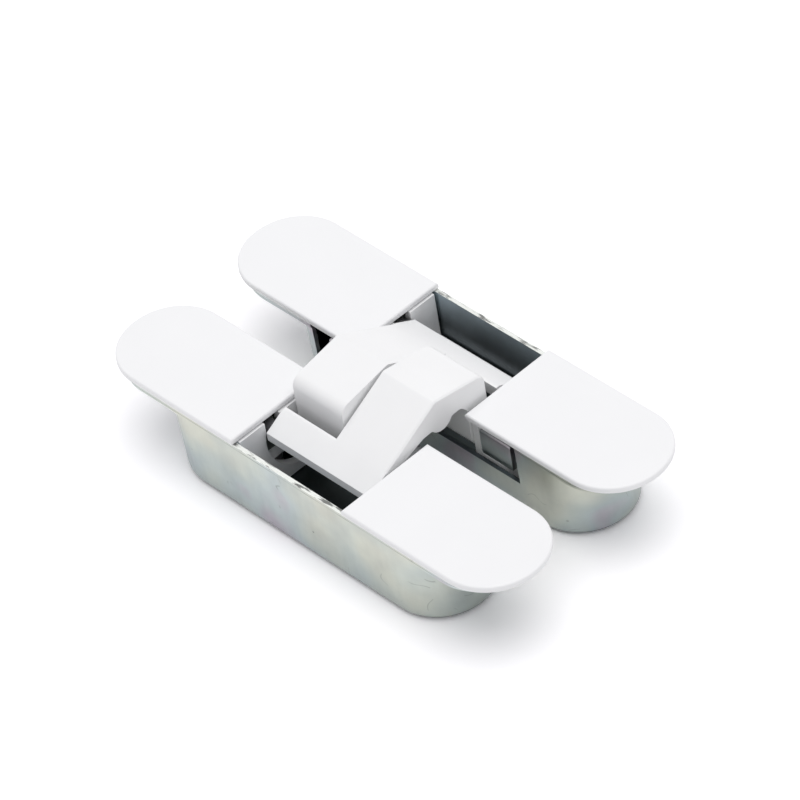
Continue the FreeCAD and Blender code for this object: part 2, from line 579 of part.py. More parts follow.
def draw_riser(body, width):
    """The half-width riser, its hub round the centre pin and its nose round the fixed pivot."""
    riser = new_sketch(body, "YZ_Plane", "arm_split")
    draw_polygon(riser, [
        ("-bar_front", "bar_edge"),
        ("-ridge_back", "ridge_high"),
        ("pivot_out + nose_radius", "face_height + shoulder_rise"),
        ("pivot_out + nose_radius", "pivot_high"),
        ("pivot_out - nose_radius", "pivot_high"),
        ("pivot_out - nose_radius", "face_height - nose_step"),
        ("notch_out", "face_height + notch_rise"),
        ("-saddle_out", "face_height + saddle_rise"),
        ("-under_out", "face_height - arm_under"),
        ("-slide_out", "slide_high - bar_radius"),
        ("-bar_front", "bar_edge - bar_lip"),
    ])
    add_feature(body, "Pad", riser, width)
    for across, up, radius in (("0", "centre_high", "hub_radius"),
                               ("pivot_out", "pivot_high", "nose_radius")):
        boss = new_sketch(body, "YZ_Plane", "arm_split")
        draw_circle(boss, across, up, radius)
        add_feature(body, "Pad", boss, width)
    ridge, shoulder = value("ridge_high"), value("face_height + shoulder_rise")
    notch, saddle = value("face_height + notch_rise"), value("face_height + saddle_rise")
    hub, outer, crest = value("hub_radius"), value("arm_reach"), value("ridge_high - ridge_round")
    for size, height in (("shoulder_round", shoulder), ("ridge_round", ridge), ("notch_round", notch)):
        dress(body, "Fillet", size, lambda edge: lengthwise(edge) and near(edge.BoundBox.ZMin, height))
    dress(body, "Fillet", "hub_round",
          lambda edge: lengthwise(edge) and abs(edge.BoundBox.YMin) < hub
          and saddle < edge.BoundBox.ZMin < notch)
    dress(body, "Chamfer", "arm_bevel",
          lambda edge: near(edge.BoundBox.XMin, outer) and near(edge.BoundBox.XLength, 0)
          and edge.BoundBox.ZMax > crest)


def draw_bar(body):
    """The full-width bar round the sliding pin, with a flat strip along its back."""
    bar = new_sketch(body, "YZ_Plane", "-arm_reach")
    draw_polygon(bar, [
        ("-bar_front", "bar_edge"),
        ("-bar_front", "bar_edge - bar_lip"),
        ("-slide_out", "slide_high - bar_radius"),
        ("-slide_out + bar_radius", "slide_high"),
        ("-bar_back", "bar_top"),
        ("-bar_back - bar_land", "bar_top"),
    ])
    add_feature(body, "Pad", bar, "2 * arm_reach")
    tube = new_sketch(body, "YZ_Plane", "-arm_reach")
    draw_circle(tube, "-slide_out", "slide_high", "bar_radius")
    add_feature(body, "Pad", tube, "2 * arm_reach")


def bore_arm(body):
    """Through bores for the sliding pin and the bush, and a blind one for the centre pin."""
    for across, up, radius in (("-slide_out", "slide_high", "slide_pin / 2 + running_fit"),
                               ("pivot_out", "pivot_high", "pivot_pin / 2 + running_fit + bush_wall")):
        bore = new_sketch(body, "YZ_Plane", "arm_reach")
        draw_circle(bore, across, up, radius)
        add_feature(body, "Pocket", bore, "2 * arm_reach")
    blind = new_sketch(body, "YZ_Plane", "arm_split")
    draw_circle(blind, "0", "centre_high", "centre_pin_size / 2 + running_fit")
    add_feature(body, "Pocket", blind, "arm_reach - arm_split - pin_wall", reverse=True)


def make_rod(label, place, across, up, radius, reach, bore=None, start=None):
    """A round piece along X, from start (or minus reach) to reach, with or without a bore."""
    body = new_body(label, place)
    first = start or f"-({reach})"
    face = new_sketch(body, "YZ_Plane", first)
    draw_circle(face, across, up, radius)
    if bore:
        draw_circle(face, across, up, bore)
    add_feature(body, "Pad", face, f"({reach}) - ({first})")
    return body


# Pins, sleeves, bushes and the washer between the arms.
def make_pins():
    for side in ("frame", "door"):
        place = PLACES[side]
        opposite = PLACES["door" if side == "frame" else "frame"]
        make_rod(side + "_pivot_pin", place, "-pivot_out", "pivot_high", "pivot_pin / 2",
                 "block_out + block_length / 2")
        make_rod(side + "_arm_bush", opposite, "pivot_out", "pivot_high",
                 "pivot_pin / 2 + running_fit + bush_wall", "arm_reach", "pivot_pin / 2 + running_fit",
                 "arm_split")
        make_rod(side + "_arm_slide_pin", opposite, "-slide_out", "slide_high", "slide_pin / 2", "cheek_out")
        for end, sign in (("left", "-"), ("right", "")):
            low, high = ends_of(sign, "arm_reach + running_fit", "cheek_out")
            make_rod(f"{side}_arm_slide_sleeve_{end}", opposite, "-slide_out", "slide_high",
                     "slide_sleeve / 2", high, "slide_pin / 2 + running_fit", low)
    make_rod("centre_pin", PLACES["frame"], "0", "centre_high", "centre_pin_size / 2",
             "arm_reach - pin_wall - pin_end_play")
    make_rod("centre_washer", PLACES["frame"], "0", "centre_high", "hub_radius - running_fit",
             "arm_split - running_fit", "centre_pin_size / 2 + running_fit")


def check_model():
    """Stop if any object failed or a node is not one closed, valid solid."""
    for item in doc.Objects:
        if "Invalid" in item.State or "Error" in item.State:
            raise RuntimeError(f"{item.Label} failed: {item.State}")
    for node in nodes:
        shape = node.Shape
        if shape.isNull() or not shape.isValid() or len(shape.Solids) != 1:
            raise RuntimeError(f"{node.Label} is not one valid solid: {len(shape.Solids)}")


for half in ("frame", "door"):
    make_cup(half)
    make_carriage(half)
    make_arm(half)
    for end_name, end_sign in (("left", "-"), ("right", "")):
        make_cover(half, end_name, end_sign)
        make_clamp(half, end_name, end_sign)
make_pins()
doc.recompute()
check_model()

os.makedirs("parts", exist_ok=True)
for node in nodes:
    node.Shape.exportStep(f"parts/{node.Label}.step")

FOLD_STEPS = 40
drift = max(abs(math.dist(sliding_pin(step / FOLD_STEPS), slot_centre) - slot_bend)
            for step in range(FOLD_STEPS + 1))
print(f"{len(nodes)} nodes, arm swing {math.degrees(arm_swing):.3f} degrees, cross ratio {cross_ratio:.5f}")
print(f"sliding pin leaves the slot's middle line by up to {drift:.3f} mm")
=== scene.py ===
"""Looks of a concealed door hinge, opened flat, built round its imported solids."""

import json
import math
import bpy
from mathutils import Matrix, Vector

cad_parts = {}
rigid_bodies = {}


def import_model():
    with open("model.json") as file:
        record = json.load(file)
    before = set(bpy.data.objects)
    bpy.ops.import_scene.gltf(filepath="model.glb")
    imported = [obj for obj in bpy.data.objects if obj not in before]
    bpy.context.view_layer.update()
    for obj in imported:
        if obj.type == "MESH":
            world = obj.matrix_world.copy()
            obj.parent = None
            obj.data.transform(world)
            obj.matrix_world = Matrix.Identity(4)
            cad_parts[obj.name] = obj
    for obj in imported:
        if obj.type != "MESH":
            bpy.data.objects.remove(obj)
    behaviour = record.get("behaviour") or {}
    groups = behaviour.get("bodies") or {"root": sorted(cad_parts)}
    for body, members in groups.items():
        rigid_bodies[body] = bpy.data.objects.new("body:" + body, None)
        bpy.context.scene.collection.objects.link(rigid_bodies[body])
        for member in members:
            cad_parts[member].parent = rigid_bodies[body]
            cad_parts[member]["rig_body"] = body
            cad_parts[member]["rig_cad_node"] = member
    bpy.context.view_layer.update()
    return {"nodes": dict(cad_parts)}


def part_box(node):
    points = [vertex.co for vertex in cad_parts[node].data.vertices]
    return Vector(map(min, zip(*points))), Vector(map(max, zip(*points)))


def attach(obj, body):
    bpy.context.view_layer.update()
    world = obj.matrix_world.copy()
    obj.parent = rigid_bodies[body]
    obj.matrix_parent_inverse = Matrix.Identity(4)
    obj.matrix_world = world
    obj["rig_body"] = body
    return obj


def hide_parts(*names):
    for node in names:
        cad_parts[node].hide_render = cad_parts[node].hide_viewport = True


bl_info = {
    "name": "Concealed Hinge",
    "version": (1, 0, 0),
    "blender": (4, 5, 0),
    "location": "View3D > Sidebar > Hinge",
    "description": "Models and finishes the pieces of a concealed door hinge",
    "category": "Object",
}

import bpy
from bpy.props import FloatProperty, FloatVectorProperty, PointerProperty
from bpy.types import Operator, Panel, PropertyGroup
from mathutils import Matrix, Vector

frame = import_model()
HALVES = ("frame", "door")
ENDS = ("left", "right")

# Lengths in metres: two places that agree, vertices that a cut merges, and a point that is plainly lower
SAME_PLACE = 1e-6
WELD = 2e-6
LOWER = 1e-5

# Angles: faces that make one flat face, and edges that stay sharp
FLAT_ANGLE = math.radians(0.4)
SHARP_ANGLE = math.radians(32)

# How far a face's normal goes sideways on a wall, up on a floor, a land and the arm's long slope, and along
# a bar on the bar's end
WALL_FACING = 0.5
FLOOR_FACING = 0.9
LAND_FACING = 0.95
SLOPE_FACING = (0.8, 0.95)
END_FACING = 0.99

# A cup's finishes after its outer one, by their place on the piece
INSIDE, RIM, LAND = 1, 2, 3

# The land and the slope round a pin's centre mark, in parts of the pin's radius
MARK_RINGS = (0.45, 0.12)

# The cup's marks, in metres: a line of painted groove shade below its rim, a painted contact shadow at its
# foot, and the heights where the painted shade outside and inside the cup ends
GROOVE_SHADE_DROP = 0.0008
GROOVE_SHADE_WIDTH = 0.00013
FOOT_SHADOW = 0.00065
LOW_SHADE_TO = 0.020
WELL_SHADE_TO = 0.022

# The floor's own white, what the camera and reflections see of it, and how far it lies below the cups
FLOOR_WHITE = (0.93, 0.93, 0.93)
FLOOR_SEEN = (1.24, 1.235, 1.255)
FLOOR_DROP = 0.00002

# Colours of the two lights, and the key light's spread and the way to it
AMBIENT_COLOUR = (0.975, 0.965, 1.0)
KEY_COLOUR = (1.0, 0.995, 0.98)
KEY_SPREAD = math.radians(66)
KEY_WAY = (0.04, 0.08, 1.0)

# A Mix node's sockets for colours: its factor and two colours, and its result
MIX_INPUTS = (0, 6, 7)
MIX_RESULT = 2


class HingeSizes(PropertyGroup):
    """Sizes that the solids leave to the finish."""

    casting_edge: FloatProperty(
        name="Casting edge", description="Rounding of the cast arms' and carriages' edges",
        default=0.00028, unit="LENGTH")
    block_edge: FloatProperty(
        name="Block edge", description="Rounding of the clamp blocks, bushes and sleeves",
        default=0.00015, unit="LENGTH")
    rim_edge: FloatProperty(
        name="Rim edge", description="Rounding of the cups' edges",
        default=0.0003, unit="LENGTH")
    cover_edge: FloatProperty(
        name="Cover edge", description="Rounding of a cover's upper edge",
        default=0.0005, unit="LENGTH")
    cover_rim: FloatProperty(
        name="Cover rim", description="Rounding of a cover's lower edge",
        default=0.0002, unit="LENGTH")
    cover_end_flat: FloatProperty(
        name="Cover end", description="Half the straight stretch at a cover's outer end",
        default=0.0002, unit="LENGTH")
    clip_barb: FloatProperty(
        name="Clip barb", description="Chamfer at the foot of a cover's clip",
        default=0.0005, unit="LENGTH")
    pin_edge: FloatProperty(
        name="Pin edge", description="Bevel round the end of a pin, post or screw",
        default=0.00025, unit="LENGTH")
    knurl: FloatProperty(
        name="Knurl", description="Depth of the ribs round a screw's head",
        default=0.00012, unit="LENGTH")
    socket: FloatProperty(
        name="Socket", description="Width across flats of a screw's socket",
        default=0.003, unit="LENGTH")
    socket_deep: FloatProperty(
        name="Socket depth", description="Depth of a screw's socket",
        default=0.0016, unit="LENGTH")


class HingeFinishes(PropertyGroup):
    """Colours of the finishes."""

    cover_white: FloatVectorProperty(
        name="Cover", description="Colour of the moulded covers",
        default=(0.90, 0.907, 0.913), subtype="COLOR", min=0, max=1)
    enamel_white: FloatVectorProperty(
        name="Enamel", description="Colour of the coated castings",
        default=(0.91, 0.916, 0.918), subtype="COLOR", min=0, max=1)
    zinc: FloatVectorProperty(
        name="Zinc", description="Main colour of the zinc plating",
        default=(0.515, 0.552, 0.52), subtype="COLOR", min=0, max=1)
    # The plating inside the cups is a darker copy of the outer plating: painted shade.
    zinc_shaded_inside: FloatVectorProperty(
        name="Zinc inside", description="Colour of the plating inside the cups",
        default=(0.38, 0.44, 0.48), subtype="COLOR", min=0, max=1)
    # The rim's colour is a painted highlight on the cups' upper edge and upper face.
    zinc_rim_highlight: FloatVectorProperty(
        name="Zinc rim", description="Colour of the cups' worn upper edge",
        default=(0.90, 0.92, 0.89), subtype="COLOR", min=0, max=1)
    steel: FloatVectorProperty(
        name="Steel", description="Colour of the bright pins",
        default=(0.66, 0.66, 0.65), subtype="COLOR", min=0, max=1)
    oxide: FloatVectorProperty(
        name="Oxide", description="Colour of the blackened screws",
        default=(0.03, 0.03, 0.032), subtype="COLOR", min=0, max=1)
    bearing: FloatVectorProperty(
        name="Bearing", description="Colour of the plastic bushes",
        default=(0.07, 0.07, 0.075), subtype="COLOR", min=0, max=1)


class HingeStudio(PropertyGroup):
    """Camera and light."""

    azimuth: FloatProperty(
        name="Azimuth", description="Camera's turn round the hinge",
        default=math.radians(52.53), subtype="ANGLE")
    elevation: FloatProperty(
        name="Elevation", description="Camera's angle above the floor",
        default=math.radians(42.95), subtype="ANGLE")
    roll: FloatProperty(
        name="Roll", description="Camera's turn about its own view",
        default=math.radians(10.11), subtype="ANGLE")
    distance: FloatProperty(
        name="Distance", description="Camera to the point it looks at",
        default=1.1898, unit="LENGTH")
    lens: FloatProperty(
        name="Lens", description="Focal length in millimetres",
        default=258.4, unit="CAMERA")
    aim: FloatVectorProperty(
        name="Aim", description="Point that the camera looks at",
        default=(0.00287, 0.00008, 0.0215), unit="LENGTH")
    ambient: FloatProperty(
        name="Ambient", description="Strength of the light from all round", default=0.55)
    key: FloatProperty(
        name="Key", description="Strength of the soft key light", default=1.53)


def select_only(piece):
    """Leave that object alone selected and active."""
    bpy.ops.object.select_all(action="DESELECT")
    piece.select_set(True)
    bpy.context.view_layer.objects.active = piece


def start_edit(piece, kind, test):
    """Enter edit mode with the vertices, edges or faces that pass the test selected."""
    select_only(piece)
    mesh = piece.data
    groups = {"VERT": mesh.vertices, "EDGE": mesh.edges, "FACE": mesh.polygons}
    for group in groups.values():
        group.foreach_set("select", [False] * len(group))
    for item in groups[kind]:
        item.select = test(item)
    bpy.context.tool_settings.mesh_select_mode = [kind == name for name in groups]
    bpy.ops.object.mode_set(mode="EDIT")


def end_edit():
    bpy.ops.object.mode_set(mode="OBJECT")


def apply_modifiers(piece):
    """Make the piece's modifiers part of its mesh."""
    select_only(piece)
    for modifier in list(piece.modifiers):
        bpy.ops.object.modifier_apply(modifier=modifier.name)


def name_piece(name):
    """Name the new object and leave it at the origin, with its place in its mesh."""
    piece = bpy.context.active_object
    piece.name = name
    piece.data.name = name
    select_only(piece)
    bpy.ops.object.transform_apply(location=True, rotation=True, scale=True)
    return piece


def add_block(name, low, high):
    """A box between two corners."""
    bpy.ops.object.select_all(action="DESELECT")
    size = Vector(high) - Vector(low)
    bpy.ops.mesh.primitive_cube_add(size=1.0, location=Vector(low) + size / 2, scale=size)
    return name_piece(name)


def add_round(name, low, high, axis, sides=64, turn=0.0, radius=None):
    """A round bar along X or Z that fills the box between two corners, or has a radius of its own."""
    bpy.ops.object.select_all(action="DESELECT")
    size = Vector(high) - Vector(low)
    along = "XYZ".index(axis)
    rotation = (0, math.pi / 2, 0) if axis == "X" else (0, 0, turn)
    bpy.ops.mesh.primitive_cylinder_add(
        vertices=sides, radius=radius or size[(along + 1) % 3] / 2, depth=size[along],
        location=Vector(low) + size / 2, rotation=rotation)
    return name_piece(name)


def same(first, second):
    """Whether two lengths agree."""
    return abs(first - second) < SAME_PLACE


def across_end(a, b, low, high):
    """Whether an edge lies in one of the faces at the two ends of a bar along X."""
    return same(a.x, b.x) and (same(a.x, low.x) or same(a.x, high.x))


def bevel_where(piece, width, segments, test):
    """Round the edges whose two ends pass the test."""
    places = [corner.co for corner in piece.data.vertices]
    start_edit(piece, "EDGE", lambda edge: test(*(places[number] for number in edge.vertices)))
    bpy.ops.mesh.bevel(offset=width, segments=segments, affect="EDGES", clamp_overlap=True)
    end_edit()


def bevel_level(piece, level, width, segments):
    """Round the edges that lie at one height."""
    bevel_where(piece, width, segments, lambda a, b: same(a.z, level) and same(b.z, level))


def combine(piece, other, operation):
    """Add or cut another object's solid, which is then deleted."""
    boolean = piece.modifiers.new(operation, "BOOLEAN")
    boolean.operation = operation
    boolean.object = other
    boolean.solver = "EXACT"
    apply_modifiers(piece)
    bpy.data.objects.remove(other)


def smooth(piece):
    """Smooth the curved faces and keep the flat ones flat."""
    select_only(piece)
    bpy.ops.object.shade_smooth_by_angle(angle=SHARP_ANGLE)
    weighted = piece.modifiers.new("Weighted normals", "WEIGHTED_NORMAL")
    weighted.keep_sharp = True
    apply_modifiers(piece)


def copy_solid(node, name):
    """A copy of a CAD node with its loose triangles joined and its flat faces made whole."""
    source = frame["nodes"][node]
    select_only(source)
    bpy.ops.object.duplicate()
    piece = bpy.context.active_object
    piece.name = name
    piece.data.name = name
    del piece["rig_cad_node"]
    piece.parent = None
    piece.data.materials.clear()
    start_edit(piece, "VERT", lambda corner: True)
    bpy.ops.mesh.remove_doubles(threshold=SAME_PLACE)
    bpy.ops.mesh.dissolve_limited(angle_limit=FLAT_ANGLE)
    end_edit()
    return piece


def round_edges(piece, width, segments):
    """Round the piece's sharp edges and smooth its curved faces."""
    bevel = piece.modifiers.new("Edges", "BEVEL")
    bevel.width = width
    bevel.segments = segments
    bevel.limit_method = "ANGLE"
    bevel.angle_limit = SHARP_ANGLE
    bevel.miter_outer = "MITER_ARC"
    apply_modifiers(piece)
    smooth(piece)


def hand_over(piece, node, material):
    """Give the piece its finish, and let it stand for the CAD node on the node's body."""
    piece.data.materials.clear()
    piece.data.materials.append(material)
    body = frame["nodes"][node]["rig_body"]
    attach(piece, body)
    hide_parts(node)


def finish_copy(node, material, width, segments):
    """Stand a copy of a CAD node with rounded edges in for it."""
    piece = copy_solid(node, node + "_finished")
    round_edges(piece, width, segments)
    hand_over(piece, node, material)
    return piece


def start_material(name):
    """A new node material and its shader, with object coordinates ready."""
    material = bpy.data.materials.new(name)
    material.use_nodes = True
    tree = material.node_tree
    shader = tree.nodes["Principled BSDF"]
    place = tree.nodes.new("ShaderNodeTexCoord")
    return material, tree, shader, place.outputs["Object"]


def add_noise(tree, place, scale, stretch=(1, 1, 1), detail=3.0):
    """A noise pattern with so many lumps in a metre, stretched along the axes."""
    mapping = tree.nodes.new("ShaderNodeMapping")
    mapping.inputs["Scale"].default_value = stretch
    noise = tree.nodes.new("ShaderNodeTexNoise")
    noise.inputs["Scale"].default_value = scale
    noise.inputs["Detail"].default_value = detail
    tree.links.new(place, mapping.inputs["Vector"])
    tree.links.new(mapping.outputs["Vector"], noise.inputs["Vector"])
    return noise.outputs["Fac"]


def add_ramp(tree, factor, *stops):
    """A colour ramp over a factor, with stops of a position and a colour."""
    ramp = tree.nodes.new("ShaderNodeValToRGB")
    while len(ramp.color_ramp.elements) < len(stops):
        ramp.color_ramp.elements.new(0.5)
    for element, (position, colour) in zip(ramp.color_ramp.elements, stops):
        element.position = position
        element.color = (*colour, 1.0)
    tree.links.new(factor, ramp.inputs["Fac"])
    return ramp.outputs["Color"]


def add_range(tree, factor, low, high, start=0.0, stop=1.0):
    """A factor between start and stop, spread between two values."""
    spread = tree.nodes.new("ShaderNodeMapRange")
    spread.inputs["From Min"].default_value = start
    spread.inputs["From Max"].default_value = stop
    spread.inputs["To Min"].default_value = low
    spread.inputs["To Max"].default_value = high
    tree.links.new(factor, spread.inputs["Value"])
    return spread.outputs["Result"]


def add_math(tree, operation, first, second=0.0):
    """One sum of a factor with another factor or a number."""
    node = tree.nodes.new("ShaderNodeMath")
    node.operation = operation
    tree.links.new(first, node.inputs[0])
    if isinstance(second, float):
        node.inputs[1].default_value = second
    else:
        tree.links.new(second, node.inputs[1])
    return node.outputs[0]


def add_distance(tree, factor, level):
    """How far a factor is from a level."""
    return add_math(tree, "ABSOLUTE", add_math(tree, "SUBTRACT", factor, level))


def add_mix(tree, factor, first, second, blend="MIX"):
    """The first colour, mixed with the second where the factor says."""
    node = tree.nodes.new("ShaderNodeMix")
    node.data_type = "RGBA"
    node.blend_type = blend
    for value, number in zip((factor, first, second), MIX_INPUTS):
        if isinstance(value, tuple):
            node.inputs[number].default_value = (*value, 1.0)
        elif isinstance(value, float):
            node.inputs[number].default_value = value
        else:
            tree.links.new(value, node.inputs[number])
    return node.outputs[MIX_RESULT]


def stain_and_shade(tree, colour, mask, strength, dark):
    """The colour, darkened where a mask says, by a strength that is a number or a factor; used for wear and
    specks and for painted shade.
    """
    return add_mix(tree, add_math(tree, "MULTIPLY", mask, strength), colour, dark)


def add_height(tree, place):
    """Height above the cups' bottoms."""
    split = tree.nodes.new("ShaderNodeSeparateXYZ")
    tree.links.new(place, split.inputs["Vector"])
    return split.outputs["Z"]


def add_scratches(tree, place, scale, width, cover):
    """Short thin curved marks: the level lines of one noise, kept where another is high."""
    line = add_distance(tree, add_noise(tree, place, scale, detail=1.0), 0.5)
    thin = add_range(tree, line, 1.0, 0.0, 0.0, width)
    patch = add_noise(tree, place, scale * 1.7, detail=1.0)
    return add_math(tree, "MULTIPLY", thin, add_range(tree, patch, 0.0, 1.0, cover, cover + 0.03))


def add_specks(tree, place, scale, size):
    """Small round specks, one in about fifteen cells."""
    cells = tree.nodes.new("ShaderNodeTexVoronoi")
    cells.inputs["Scale"].default_value = scale
    tree.links.new(place, cells.inputs["Vector"])
    split = tree.nodes.new("ShaderNodeSeparateColor")
    tree.links.new(cells.outputs["Color"], split.inputs["Color"])
    chosen = add_range(tree, split.outputs["Red"], 0.0, 1.0, 0.92, 0.95)
    spot = add_range(tree, cells.outputs["Distance"], 1.0, 0.0, size * 0.6, size)
    return add_math(tree, "MULTIPLY", spot, chosen)


def add_level_line(tree, place, level, width):
    """A soft level line round a piece: full at its height and gone at its width above and below."""
    return add_range(tree, add_distance(tree, add_height(tree, place), level), 1.0, 0.0, 0.0, width)


def add_draw_marks(tree, place):
    """Fine upright marks, as deep drawing leaves them on the sheet."""
    return add_noise(tree, place, 900.0, stretch=(1, 1, 0.08), detail=4.0)


def add_roughness(tree, shader, pattern, low, high):
    """Roughness that follows a pattern between two values."""
    tree.links.new(add_range(tree, pattern, low, high), shader.inputs["Roughness"])


def add_bump(tree, shader, height, strength, distance):
    """Relief that follows a pattern."""
    bump = tree.nodes.new("ShaderNodeBump")
    bump.inputs["Strength"].default_value = strength
    bump.inputs["Distance"].default_value = distance
    tree.links.new(height, bump.inputs["Height"])
    tree.links.new(bump.outputs["Normal"], shader.inputs["Normal"])


def tint(colour, factor):
    """The colour, darker or lighter by a factor."""
    return tuple(min(1.0, channel * factor) for channel in colour)


def shift(colour, red, green, blue):
    """The colour, with each channel changed by its own factor."""
    return (colour[0] * red, colour[1] * green, colour[2] * blue)


def paint_cover(finishes):
    """Satin white moulding with a fine grain."""
    material, tree, shader, place = start_material("cover_moulding")
    white = finishes.cover_white
    colour = add_ramp(tree, add_noise(tree, place, 60.0), (0.3, tint(white, 0.985)), (0.7, white))
    tree.links.new(colour, shader.inputs["Base Color"])
    shader.inputs["Specular IOR Level"].default_value = 0.32
    grain = add_noise(tree, place, 5200.0, detail=2.0)
    add_roughness(tree, shader, grain, 0.36, 0.46)
    add_bump(tree, shader, grain, 0.12, 0.00003)
    return material


def paint_enamel(finishes):
    """White enamel on a casting: smooth, with a faint orange peel."""
    material, tree, shader, place = start_material("casting_enamel")
    white = finishes.enamel_white
    colour = add_ramp(tree, add_noise(tree, place, 90.0), (0.3, tint(white, 0.975)), (0.7, white))
    tree.links.new(colour, shader.inputs["Base Color"])
    shader.inputs["Specular IOR Level"].default_value = 0.38
    peel = add_noise(tree, place, 1500.0, detail=2.0)
    add_roughness(tree, shader, peel, 0.28, 0.40)
    add_bump(tree, shader, peel, 0.10, 0.00005)
    return material


def paint_zinc(finishes):
    """Zinc-plated sheet: pale green, blue and violet films, painted shade darkening it towards the foot,
    with light wear, a painted groove shade below the rim and a painted contact shadow at the foot.
    """
    material, tree, shader, place = start_material("zinc_plating")
    base = finishes.zinc
    film = add_noise(tree, place, 46.0, detail=2.0)
    violet = shift(base, 0.97, 0.84, 0.97)
    blue = shift(base, 0.95, 0.98, 1.04)
    yellow = shift(base, 1.10, 1.04, 0.98)
    colour = add_ramp(tree, film, (0.35, violet), (0.43, blue), (0.52, base), (0.66, yellow))
    # Painted shade: the plating is multiplied darker towards the foot, as its walls would reflect the
    # shadowed floor.
    rise = add_range(tree, add_height(tree, place), 0.0, 1.0, 0.0, LOW_SHADE_TO)
    low_shade = add_ramp(
        tree, rise, (0.0, (0.76, 0.78, 0.79)), (0.45, (0.87, 0.89, 0.89)), (1.0, (1.0, 1.0, 0.99)))
    colour = add_mix(tree, 1.0, colour, low_shade, "MULTIPLY")
    blotch = add_noise(tree, place, 150.0, detail=5.0)
    patch = add_ramp(tree, blotch, (0.32, (0.90, 0.90, 0.91)), (0.68, (1.06, 1.06, 1.05)))
    colour = add_mix(tree, 1.0, colour, patch, "MULTIPLY")
    wear = add_scratches(tree, place, 120.0, 0.008, 0.58)
    colour = stain_and_shade(tree, colour, wear, 0.6, tint(base, 0.35))
    colour = stain_and_shade(tree, colour, add_specks(tree, place, 380.0, 0.15), 0.7, tint(base, 0.30))
    # Painted shade: a dark line just below the rim stands for the shade in a groove, stronger where the
    # blotches are high.
    line = add_level_line(tree, place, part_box("frame_cup")[1].z - GROOVE_SHADE_DROP, GROOVE_SHADE_WIDTH)
    colour = stain_and_shade(tree, colour, line, add_range(tree, blotch, 0.35, 1.0, 0.40, 0.55), tint(base, 0.22))
    # Painted shadow: a dark band round the foot stands for the contact shadow on the floor.
    foot = add_level_line(tree, place, FOOT_SHADOW, FOOT_SHADOW)
    colour = stain_and_shade(tree, colour, foot, 0.9, tint(base, 0.22))
    tree.links.new(colour, shader.inputs["Base Color"])
    shader.inputs["Metallic"].default_value = 1.0
    marks = add_draw_marks(tree, place)
    add_roughness(tree, shader, marks, 0.26, 0.46)
    add_bump(tree, shader, add_math(tree, "SUBTRACT", marks, wear), 0.20, 0.00004)
    return material


def paint_zinc_shaded_inside(finishes):
    """Plating inside the cups: a darker, bluer copy of the outer plating as painted shade, with drawing
    marks; painted shade darkens it towards the floor and painted light brightens it near the top.
    """
    material, tree, shader, place = start_material("zinc_shaded_inside")
    base = finishes.zinc_shaded_inside
    colour = add_ramp(tree, add_noise(tree, place, 70.0), (0.32, tint(base, 0.78)), (0.68, base))
    # Painted shade and light: the inside is multiplied far darker towards the floor of the well and lighter
    # near its top.
    rise = add_range(tree, add_height(tree, place), 0.0, 1.0, 0.0, WELL_SHADE_TO)
    well_shade = add_ramp(
        tree, rise, (0.0, (0.12, 0.13, 0.12)), (0.55, (0.36, 0.37, 0.37)), (1.0, (1.9, 1.95, 1.95)))
    tree.links.new(add_mix(tree, 1.0, colour, well_shade, "MULTIPLY"), shader.inputs["Base Color"])
    shader.inputs["Metallic"].default_value = 0.75
    marks = add_draw_marks(tree, place)
    add_roughness(tree, shader, marks, 0.24, 0.40)
    add_bump(tree, shader, marks, 0.16, 0.00004)
    return material


def paint_patterned(name, pattern, dark, pale, metallic, rough, bump):
    """A plain finish whose colour, roughness and relief follow one noise pattern."""
    material, tree, shader, place = start_material(name)
    scale, stretch, detail = pattern
    noise = add_noise(tree, place, scale, stretch, detail)
    tree.links.new(add_ramp(tree, noise, dark, pale), shader.inputs["Base Color"])
    shader.inputs["Metallic"].default_value = metallic
    add_roughness(tree, shader, noise, *rough)
    add_bump(tree, shader, noise, *bump)
    return material


def paint_zinc_rim_highlight(finishes):
    """Sheared edge of the sheet: a painted highlight, bright, with dark nicks of wear along it."""
    bright = finishes.zinc_rim_highlight
    return paint_patterned(
        "zinc_rim_highlight", (900.0, (0.35, 1, 1), 3.0), (0.34, tint(bright, 0.16)), (0.42, bright),
        metallic=1.0, rough=(0.45, 0.25), bump=(0.25, 0.00006))


def paint_zinc_land_highlight(finishes):
    """Upper face of the sheet: a dimmer copy of the rim's painted highlight, dull between its bright edges,
    and blotched.
    """
    bright = finishes.zinc_rim_highlight
    return paint_patterned(
        "zinc_land_highlight", (1100.0, (0.22, 1, 1), 3.0), (0.40, tint(bright, 0.20)), (0.50, tint(bright, 0.80)),
        metallic=1.0, rough=(0.45, 0.30), bump=(0.20, 0.00005))


def paint_steel(finishes):
    """Bright ground steel with turning marks along the pins."""
    bright = finishes.steel
    return paint_patterned(
        "bright_steel", (2500.0, (1, 0.1, 0.1), 2.0), (0.35, tint(bright, 0.93)), (0.65, bright),
        metallic=1.0, rough=(0.16, 0.30), bump=(0.10, 0.00002))


def paint_oxide(finishes):
    """Blackened screw steel."""
    black = finishes.oxide
    return paint_patterned(
        "black_oxide", (700.0, (1, 1, 1), 3.0), (0.35, black), (0.7, tint(black, 2.0)),
        metallic=0.7, rough=(0.32, 0.48), bump=(0.08, 0.00003))


def paint_bearing(finishes):
    """Dark bearing plastic."""
    black = finishes.bearing
    return paint_patterned(
        "bearing_plastic", (1400.0, (1, 1, 1), 3.0), (0.35, black), (0.7, tint(black, 1.3)),
        metallic=0.0, rough=(0.38, 0.5), bump=(0.08, 0.00003))


def finish_named(name, paint):
    """The finish of that name, painted when it is first asked for."""
    return bpy.data.materials.get(name) or paint(bpy.context.scene.hinge_finishes)


